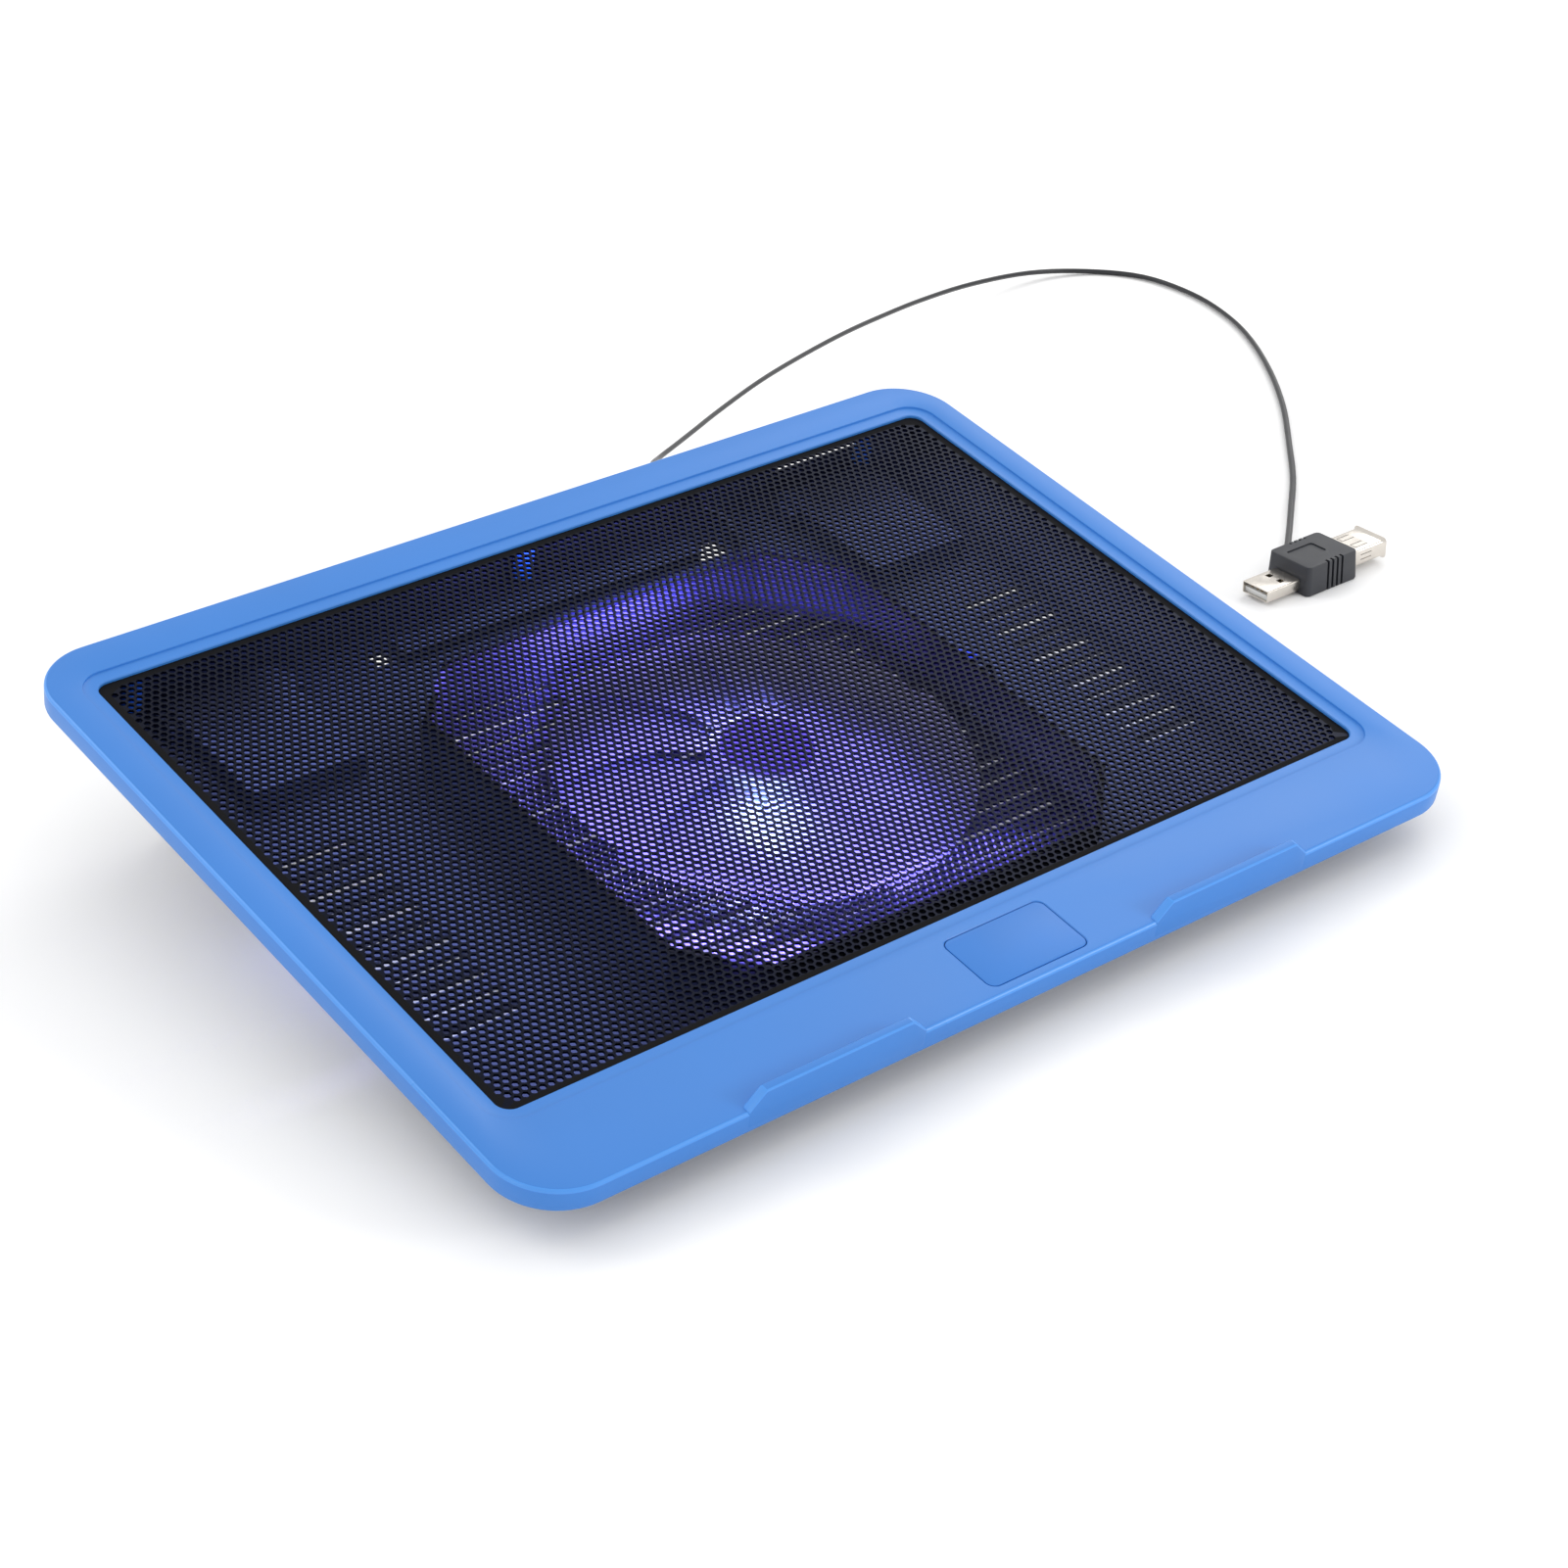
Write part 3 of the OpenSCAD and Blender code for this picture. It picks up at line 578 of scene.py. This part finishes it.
def top_frame():
    """Blue frame with a rounded rim, a stepped ledge round the mesh, two ridges and a badge recess."""
    rim_r, lip = 1.1, 0.3

    def outer(inset, z):
        return level(rounded_rect(PAD_W - 2 * inset, PAD_D - 2 * inset, CORNER_R - inset, steps=16), z)

    def window(grow, z):
        outline = rounded_rect(
            WINDOW_W + 2 * grow, WINDOW_D + 2 * grow, WINDOW_R + grow, (0, WINDOW_Y), steps=16
        )
        return level(outline, z)

    bottom, top = CASE_H - SKIRT_H, CASE_H
    loops = [outer(0.4, bottom), outer(0.1, bottom + 0.1), outer(0, bottom + 0.4)]
    for k in range(6):
        angle = math.radians(90 * k / 5)
        loops.append(outer(rim_r * (1 - math.cos(angle)), top - rim_r * (1 - math.sin(angle))))
    loops += [window(LEDGE_W + lip, top), window(LEDGE_W + lip * 0.3, top - lip * 0.3)]
    loops += [window(LEDGE_W, top - lip), window(LEDGE_W, top - LEDGE_DROP + 0.1)]
    loops += [window(LEDGE_W - 0.15, top - LEDGE_DROP), window(lip, top - LEDGE_DROP)]
    loops += [window(0, top - LEDGE_DROP - lip), window(0, PLATE_UNDER)]
    loops += [outer(WALL_T + 0.5, PLATE_UNDER), outer(WALL_T, PLATE_UNDER - 0.5)]
    loops += [outer(WALL_T, bottom + 0.3), outer(WALL_T - 0.3, bottom)]
    bm = loft(bmesh.new(), loops, ring=True)

    recess = bmesh.new()
    flare = [(0, top - BADGE_DEPTH), (0, top - 0.25), (0.25, top), (0.25, top + 1)]
    loft(
        recess,
        [
            level(rounded_rect(BADGE_W + 2 * g, BADGE_D + 2 * g, BADGE_R + g, (0, BADGE_Y)), z)
            for g, z in flare
        ],
    )
    bm = cut(bm, recess)
    for x in STOP_X:
        laptop_stop(bm, x)
    boss = [(0, PLATE_UNDER + 0.4), (BOSS_R, PLATE_UNDER + 0.4), (BOSS_R, SCREW_PAD_H + 0.3)]
    boss += [(BOSS_R - 0.3, SCREW_PAD_H), (SCREW_R, SCREW_PAD_H), (SCREW_R, SCREW_TIP_Z), (0, SCREW_TIP_Z)]
    for x in SCREW_X:
        for y in SCREW_Y:
            turned(bm, boss, 32, Matrix.Translation((x, y, 0)))
    bmesh.ops.recalc_face_normals(bm, faces=bm.faces)
    for face in bm.faces:
        rounded = ROUNDED[0] < face.normal.z < ROUNDED[1]
        # Rounded faces on the rim and the ridges take the lighter blue, a painted highlight
        face.material_index = int(rounded and on_rim(face.calc_center_median()))
    made = piece("frame", bm, LEANING, BLUE, "frame_blue", "case", "top_frame")
    made.data.materials.append(BLUE_PAINTED_HIGHLIGHT)


def laptop_stop(bm, x):
    """Low ridge with sloping ends, flush with the frame's front wall."""
    foot, peak, edge, proud = CASE_H - SKIRT_H + 1, CASE_H + STOP_H, 0.5, 0.02
    corners = [
        (x - STOP_W / 2, foot),
        (x + STOP_W / 2, foot),
        (x + STOP_W / 2, CASE_H),
        (x + STOP_W / 2 - STOP_H, peak),
        (x - STOP_W / 2 + STOP_H, peak),
        (x - STOP_W / 2, CASE_H),
    ]
    front = -PAD_D / 2 - proud
    loops = []
    for inset, y in ((edge, 0), (edge * 0.3, edge * 0.3), (0, edge), (0, STOP_T - edge), (edge, STOP_T)):
        outline = softened(shrunk(corners, inset), 1.5 - inset)
        loops.append([(px, front + y, pz) for px, pz in outline])
    loft(bm, loops)


def badge_plate():
    """Plain plate with eased edges, just below the frame's top."""
    top = CASE_H - 0.1
    w, d, r = BADGE_W - 0.5, BADGE_D - 0.5, BADGE_R - 0.25
    loops = []
    for inset, z in ((0, CASE_H - BADGE_DEPTH), (0, top - 0.3), (0.09, top - 0.09), (0.3, top)):
        loops.append(level(rounded_rect(w - 2 * inset, d - 2 * inset, r - inset, (0, BADGE_Y)), z))
    return piece("badge", loft(bmesh.new(), loops), LEANING, BADGE, "badge_blue", "case", "badge_plate")


# ---------- perforated panel ----------

CELL_PITCH, CELL_SIZE = 2.67, 1.94
ROW_PITCH = CELL_PITCH * math.sin(math.radians(60))
BORDER = 2.4
CUT_CORNER = 2
TRIANGLES_WITH_HOLES = 2


def inside_border(x, y):
    """Whether a whole opening fits inside the panel's plain border there."""
    reach = BORDER + CELL_SIZE / math.sqrt(3)
    dx, dy = WINDOW_W / 2 - reach - abs(x), WINDOW_D / 2 - reach - abs(y)
    return dx >= 0 and dy >= 0 and dx + dy > CUT_CORNER


def in_border(point):
    """Whether a face of the panel with this centre belongs to its plain border."""
    beside = abs(point.x) - WINDOW_W / 2
    beyond = abs(point.y - WINDOW_Y) - WINDOW_D / 2
    return max(beside, beyond) > -BORDER


def mesh_openings(rows):
    """Outlines of the openings in some rows, as corners on the panel's plane."""
    corner = [(math.cos(a), math.sin(a)) for a in (math.radians(60 * k + 30) for k in range(6))]
    r = CELL_SIZE / math.sqrt(3)
    columns = math.ceil(WINDOW_W / 2 / CELL_PITCH)
    found = []
    for row in rows:
        y = (row + 0.5) * ROW_PITCH
        for column in range(-columns, columns + 1):
            x = (column + (0.5 if row % 2 else 0)) * CELL_PITCH
            if inside_border(x, y):
                found.append([(x + r * cx, WINDOW_Y + y + r * cy) for cx, cy in corner])
    return found


def panel_part(name, outline, rows):
    """A part of the panel between straight cuts, with every opening in it."""
    points, loops = [], []
    for loop in [outline, *mesh_openings(rows)]:
        loops.append(range(len(points), len(points) + len(loop)))
        points += [Vector(p) for p in loop]
    flat, _, triangles, *_ = delaunay_2d_cdt(points, [], loops, TRIANGLES_WITH_HOLES, 1e-5)
    bm = bmesh.new()
    corners = [bm.verts.new((p.x, p.y, PLATE_UNDER)) for p in flat]
    faces = [bm.faces.new([corners[i] for i in triangle]) for triangle in triangles]
    for face in faces:
        # Faces of the plain border take the near-black colour, a painted shade
        face.material_index = int(in_border(face.calc_center_median()))
    under = bmesh.ops.extrude_face_region(bm, geom=faces)["geom"]
    moved = [v for v in under if isinstance(v, bmesh.types.BMVert)]
    bmesh.ops.translate(bm, verts=moved, vec=(0, 0, -MESH_T))
    made = piece(name, bm, LEANING, MESH, "mesh_black", "case", "mesh_panel", smooth=20)
    made.data.materials.append(MESH_BORDER_PAINTED_SHADE)


def mesh_panel():
    """The panel in a front and a back half, which meet on the straight strip between two rows."""
    last = math.floor(WINDOW_D / 2 / ROW_PITCH)
    half_w, half_d = WINDOW_W / 2 + MESH_LAP, WINDOW_D / 2 + MESH_LAP
    whole = rounded_rect(2 * half_w, 2 * half_d, WINDOW_R + MESH_LAP, (0, WINDOW_Y))
    front = [p for p in whole if p[1] < WINDOW_Y]
    back = [p for p in whole if p[1] > WINDOW_Y]
    panel_part("mesh_front", front + [(half_w, WINDOW_Y), (-half_w, WINDOW_Y)], range(-last, 0))
    panel_part("mesh_back", back + [(-half_w, WINDOW_Y), (half_w, WINDOW_Y)], range(last))


# ---------- fan ----------


def blade(bm, start):
    """One blade, as rounded sections from the hub to the tip that lean forwards and flatten outwards."""
    rings, side_steps = 12, 10
    span_at_hub, sweep_at_tip, rise_at_hub, thick_at_hub = 54, 16, 7.5, 1.7
    loops = []
    for i in range(rings + 1):
        t = i / rings
        r = HUB_R - 1 + (BLADE_TIP_R - HUB_R + 1) * t
        span = math.radians(span_at_hub - t)
        sweep = start + math.radians(sweep_at_tip) * t * t
        rise = rise_at_hub * (1 - 0.3 * t)
        thick = (thick_at_hub - 0.6 * t) * (0.5 if i == rings else 1)
        loop = []
        for k in range(2 * side_steps):
            s = k / side_steps if k <= side_steps else 2 - k / side_steps
            swell = thick / 2 * math.sqrt(max(0.0, 1 - (2 * s - 1) ** 6))
            lift_here = rise * (s - 0.5 + 0.12 * math.sin(math.pi * s))
            z = (BLADE_TOP + BLADE_BOTTOM) / 2 - 0.3 + lift_here + (swell if k < side_steps else -swell)
            angle = sweep + span * (s - 0.5)
            loop.append((r * math.cos(angle), r * math.sin(angle), z))
        loops.append(loop)
    loft(bm, loops)


def fan_rotor():
    """Milky hub and blades, with a faint painted glow."""
    bm = bmesh.new()
    edge = 1.6
    profile = [(MAGNET_R, HUB_BOTTOM), (HUB_R - 0.3, HUB_BOTTOM), (HUB_R, HUB_BOTTOM + 0.3)]
    for r, z in arc((HUB_R - edge, HUB_TOP - edge), edge, 0, 90, 6):
        profile.append((r, z))
    profile += [(1.9, HUB_TOP), (1.5, HUB_TOP - 0.4), (1.5, HUB_CEILING), (MAGNET_R, HUB_CEILING)]
    turned(bm, profile)
    for n in range(BLADES):
        blade(bm, math.tau * n / BLADES)
    return piece("fan", bm, AT_FAN, CLEAR, "fan_clear", "rotor", "fan_rotor", smooth=45)


def hub_cap():
    """Round film on the hub."""
    top = HUB_TOP + 0.4
    profile = [(0, HUB_TOP), (14, HUB_TOP), (14.2, HUB_TOP + 0.1), (14.2, top - 0.15), (14, top), (0, top)]
    return piece("cap", turned(bmesh.new(), profile), AT_FAN, CAP_PAINTED_VIOLET_LIGHT, "cap_grey", "rotor", "hub_cap")


# ---------- leads inside ----------

SPLICE_R = 1.9
SPLICE_ENDS = [(98, 9, 4), (91, 19, 4)]
FAN_LEAD = [(16, -7, 4.2), (20, -8, 4.2), (26, -9, 3.4), (34, -10, 3.1), (45, -11, 3.1), (57, -10, 3.1)]
FAN_LEAD += [(68, -9, 3.1), (78, -9, 3.1), (87, -8, 3.1), (94, -5, 3.2), (98, 0, 3.6), (99, 5, 4)]
FAN_LEAD += [SPLICE_ENDS[0]]
LED_LEAD = [(-16, -29, 2.6), (-8, -30, 3), (4, -31, 3.1), (16, -29, 3.1), (25, -22, 3.1), (29, -15, 3.1)]
LED_LEAD += [(32, -10.8, 3.1)]
INNER_CABLE = [SPLICE_ENDS[1], (88, 25, 3.8), (88, 34, 3.5), (92, 43, 3.5), (97, 49, 3.5), (98, 54, 3.5)]
INNER_CABLE += [(93, 59, 3.5), (86, 66, 3.5), (77, 73, 3.5), (69, 77, 3.5), (63, 82, 3.5), (63, 89, 3.5)]
INNER_CABLE += [(69, 95, 3.5), (74, 102, 4.5), (73, 109, 8), (69, 115, 10.5), (68, TRAY_BACK_Y - 3, 11)]


def twisted_pair(name, route, strand_r, node):
    """Two insulated wires twisted round each other along a route."""
    bm = bmesh.new()
    path = smoothed(route, 10)
    for strand in (-1, 1):
        swept(bm, path, round_section(strand_r, 10), roll_per_mm=0.5, off_axis=strand * strand_r)
    return piece(name, bm, LEANING, LEAD, "lead_black", "case", node, smooth=60)


def leads():
    """The fan's and the lamp's leads, the cable's inner end, and the sleeve over their splice."""
    twisted_pair("fan_wires", FAN_LEAD, 0.55, "fan_lead")
    twisted_pair("lamp_wires", LED_LEAD, 0.3, "led_lead")
    inner = swept(bmesh.new(), smoothed(INNER_CABLE, 6), twin_section(*CABLE_CORES), roll=math.radians(20))
    piece("cable_inside", inner, LEANING, CABLE, "cable_black", "case", "inner_cable", smooth=60)
    a, b = (Vector(p) for p in SPLICE_ENDS)
    rings = 12
    path = [a.lerp(b, t / rings) for t in range(rings + 1)]
    loops = []
    for i, here in enumerate(path):
        along = (b - a).normalized()
        side = along.cross(Vector((0, 0, 1)))
        up = side.cross(along)
        r = SPLICE_R - (0.5 if i in (0, rings) else 0.12 * (i % 2))
        loops.append([here + side * x + up * y for x, y in round_section(r, 20)])
    sleeve = loft(bmesh.new(), loops)
    piece("splice", sleeve, LEANING, SPLICE, "splice_blue", "case", "lead_splice", smooth=50)


# ---------- CAD nodes that keep their shape ----------

CAD_FINISHES = {
    "base_tray": TRAY,
    "rubber_feet": RUBBER,
    "case_screws": STEEL,
    "left_leg": TRAY,
    "right_leg": TRAY,
    "left_leg_tip": RUBBER,
    "right_leg_tip": RUBBER,
    "leg_pins": STEEL,
    "rotor_magnet": MAGNET,
    "rotor_shaft": STEEL,
    "motor_base": WHITE,
    "bearing_sleeve": BRONZE,
    "stator_core": CORE,
    "stator_coils": COPPER,
    "motor_board": BOARD,
    "motor_screws": STEEL,
    "led_board": WHITE,
    "led_lamp": LED,
    "plug_tongue": TONGUE,
    "plug_contacts": GOLD,
    "socket_tongue": TONGUE,
    "socket_contacts": GOLD,
}
EDGE_MM = {"base_tray": 0.4, "left_leg": 0.6, "right_leg": 0.6, "led_lamp": 0, "rubber_feet": 0}


def finish_cad_nodes():
    """Gives each kept CAD node its material, and eases its edges."""
    for name, material in CAD_FINISHES.items():
        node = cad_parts[name]
        node.data.materials.clear()
        node.data.materials.append(material)
        weld = node.modifiers.new("weld", "WELD")
        weld.merge_threshold = 1e-6
        edge = EDGE_MM.get(name, 0.12)
        if edge:
            bevel = node.modifiers.new("edges", "BEVEL")
            bevel.width = edge / 1000
            bevel.segments = 2
            bevel.limit_method = "ANGLE"
            bevel.angle_limit = math.radians(40)


# ---------- floor and lights ----------


def light(name, kind, place, watts, colour, size):
    """A light that the camera doesn't see. Its size is in metres, and a pair for a rectangle."""
    data = bpy.data.lights.new(name, kind)
    data.energy = watts
    data.color = colour
    if isinstance(size, tuple):
        data.shape = "RECTANGLE"
        data.size, data.size_y = size
    elif kind == "AREA":
        data.shape = "DISK"
        data.size = size
    else:
        data.shadow_soft_size = size
    made = bpy.data.objects.new(name, data)
    made.matrix_world = place
    made.visible_camera = False
    bpy.context.scene.collection.objects.link(made)
    return made


def aimed(place, target=(0, 0, 0.03)):
    """Where a light stands and faces, to shine on a target."""
    towards = Vector(target) - Vector(place)
    return Matrix.Translation(place) @ towards.to_track_quat("-Z", "Y").to_matrix().to_4x4()


def unscaled(place):
    """A place with its turn, and without its change of scale."""
    spot, turn, _ = place.decompose()
    return Matrix.LocRotScale(spot, turn, None)


# Heights over the underside of the flat case, for lights just under the panel and just below the case
UNDER_MESH, BELOW_CASE = 19, -1


def shining_down(name, place, watts, colour, size):
    """An area light at a point of the flat case that shines straight down through it."""
    light(name, "AREA", unscaled(LEANING @ Matrix.Translation(place)), watts, colour, size)


def studio():
    """White floor and surroundings, and the four lights round the pad."""
    floor = bmesh.new()
    bmesh.ops.create_grid(floor, x_segments=1, y_segments=1, size=6)
    ground = loose(floor, "floor")
    white = finish("floor_white", srgb(252, 252, 252), 0.9, 30, 0.01, patch_mm=400, tint=0.004)
    ground.data.materials.append(white)

    world = bpy.data.worlds.new("studio")
    world.use_nodes = True
    world.node_tree.nodes["Background"].inputs["Color"].default_value = (1, 1, 1, 1)
    world.node_tree.nodes["Background"].inputs["Strength"].default_value = 0.95
    bpy.context.scene.world = world
    bpy.context.scene.view_settings.view_transform = "Standard"

    light("key", "AREA", aimed((-1.0, 1.2, 1.3)), 7.5, (1, 0.99, 0.98), 1.2)
    light("side", "AREA", aimed((-1.6, -0.2, 0.8)), 2.5, (0.98, 0.99, 1), 1.0)
    light("sheen", "AREA", aimed((1.3, 0.6, 1.1)), 4.6, (1, 1, 1), 0.9)
    light("rim", "AREA", aimed((0.97, -1.28, 0.56)), 7, (1, 1, 1), 0.5)


def scattered_light():
    """Faint lights that stand for light scattered below and inside the case, and aren't parts of it."""
    white, bluish = (1, 1, 1), srgb(146, 164, 255)
    shining_down("under", (10, 10, BELOW_CASE), 0.03, white, (0.28, 0.17))
    shining_down("under_vents", (128, FAN_Y, BELOW_CASE), 0.03, white, (0.03, 0.09))
    for side in (-1, 1):
        shining_down("inside", (side * 118, 5, UNDER_MESH), 0.12, bluish, (0.06, 0.18))
    shining_down("inside_back", (0, 97, UNDER_MESH), 0.08, bluish, (0.2, 0.03))


# Watts that leave the rotor's rim, by direction in degrees from the pad's right
RIM_WATTS = {0: 0.003, 45: 0.06, 90: 0.16, 135: 0.04, 180: 0.04, 225: 0.16, 270: 0.26, 315: 0.006}

# Strips of glow over the bay's floor, beyond the rotor: the middle, the watts and the size in metres
BAY_STRIPS = [
    (-10, -77, 0.05, (0.12, 0.012)),
    (-10, 65, 0.05, (0.12, 0.012)),
    (-71, -10, 0.025, (0.012, 0.1)),
]


def lamp_glow():
    """The lamp's own light, and what the milky rotor scatters of it over itself and into the bay."""
    violet, blue = srgb(126, 112, 255), srgb(160, 166, 255)
    light("lamp", "POINT", LEANING @ Matrix.Translation((*LAMP, 5)), 1.0, blue, 0.002)
    light("halo", "POINT", LEANING @ Matrix.Translation((*LAMP, 18)), 0.07, srgb(180, 210, 255), 0.003)
    light("bay_glow", "AREA", unscaled(AT_FAN @ Matrix.Translation((-22, -20, 19.5))), 0.15, violet, 0.11)
    for turn in (50, 90, 130):
        rim = Matrix.Rotation(math.radians(turn), 4, "Z") @ Matrix.Translation((HUB_R, 0, 18.6))
        light("hub_glow", "POINT", AT_FAN @ rim, 0.006, blue, 0.002)
    outwards = Matrix.Translation((BLADE_TIP_R + 1, 0, 10.5)) @ Matrix.Rotation(math.radians(-90), 4, "Y")
    for turn, watts in RIM_WATTS.items():
        place = AT_FAN @ Matrix.Rotation(math.radians(turn), 4, "Z") @ outwards
        light("rim_glow", "AREA", unscaled(place), watts, violet, (0.012, 0.05))
    for x, y, watts, size in BAY_STRIPS:
        shining_down("bay_strip", (x, y, UNDER_MESH), watts, violet, size)
    back = Matrix.Translation((20, 112, 15)) @ Matrix.Rotation(math.radians(90), 4, "X")
    light("back_glow", "AREA", unscaled(LEANING @ back), 0.02, violet, (0.12, 0.006))


camera()
cable, cable_path, cable_length = usb_cable()
strain_relief()
plug = plug_body()
shells = plug_shells()
top_frame()
badge_plate()
mesh_panel()
fan_rotor()
hub_cap()
leads()
finish_cad_nodes()
studio()
scattered_light()
lamp_glow()
